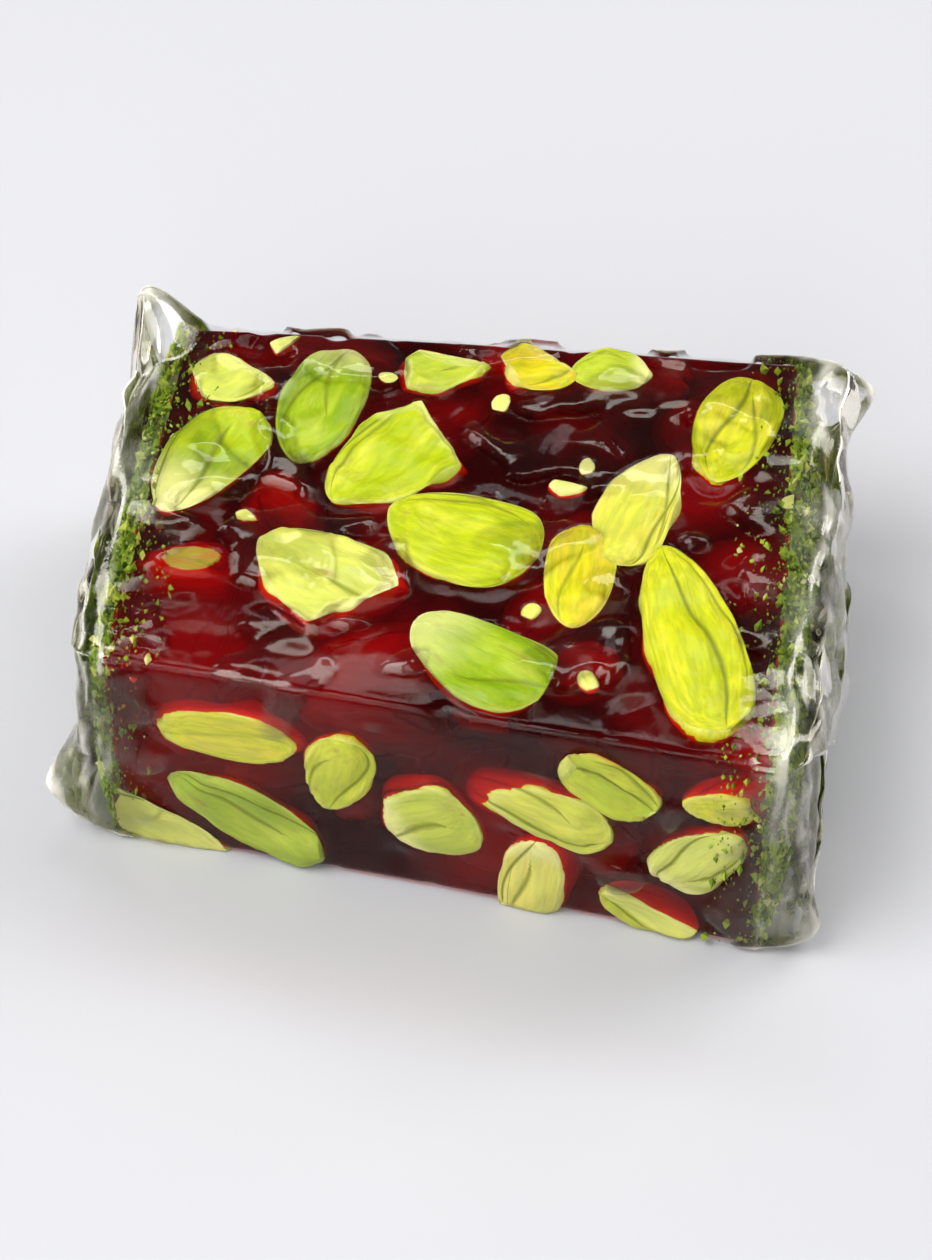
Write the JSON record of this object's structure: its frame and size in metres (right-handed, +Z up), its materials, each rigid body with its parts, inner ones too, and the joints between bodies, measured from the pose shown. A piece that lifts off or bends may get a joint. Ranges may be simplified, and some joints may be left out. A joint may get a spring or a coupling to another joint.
{
  "type": "wrapped turkish delight cube",
  "caption": "Cut slab of glossy red Turkish delight set with pistachio kernels, its ends rolled in ground nuts, folded up in clear film like a small parcel.",
  "frame": {"origin": "middle of the bottom of the box round the wrapped piece, on the surface that it lies on", "axes": "+X along the film tube, from the shallower end of the slab to the deeper one; +Z up, through the slab's thickness; -Y is the front"},
  "size_m": [0.0494, 0.0369, 0.0197],
  "materials": {
    "jelly": "glossy, translucent deep red jelly",
    "film": "clear, crinkled cellophane",
    "kernel": "yellow-green pistachio kernel",
    "ground_pistachio": "finely ground green pistachio"
  },
  "bodies": {
    "root": {"wrapped_delight": "jelly"}
  },
  "joints": []
}
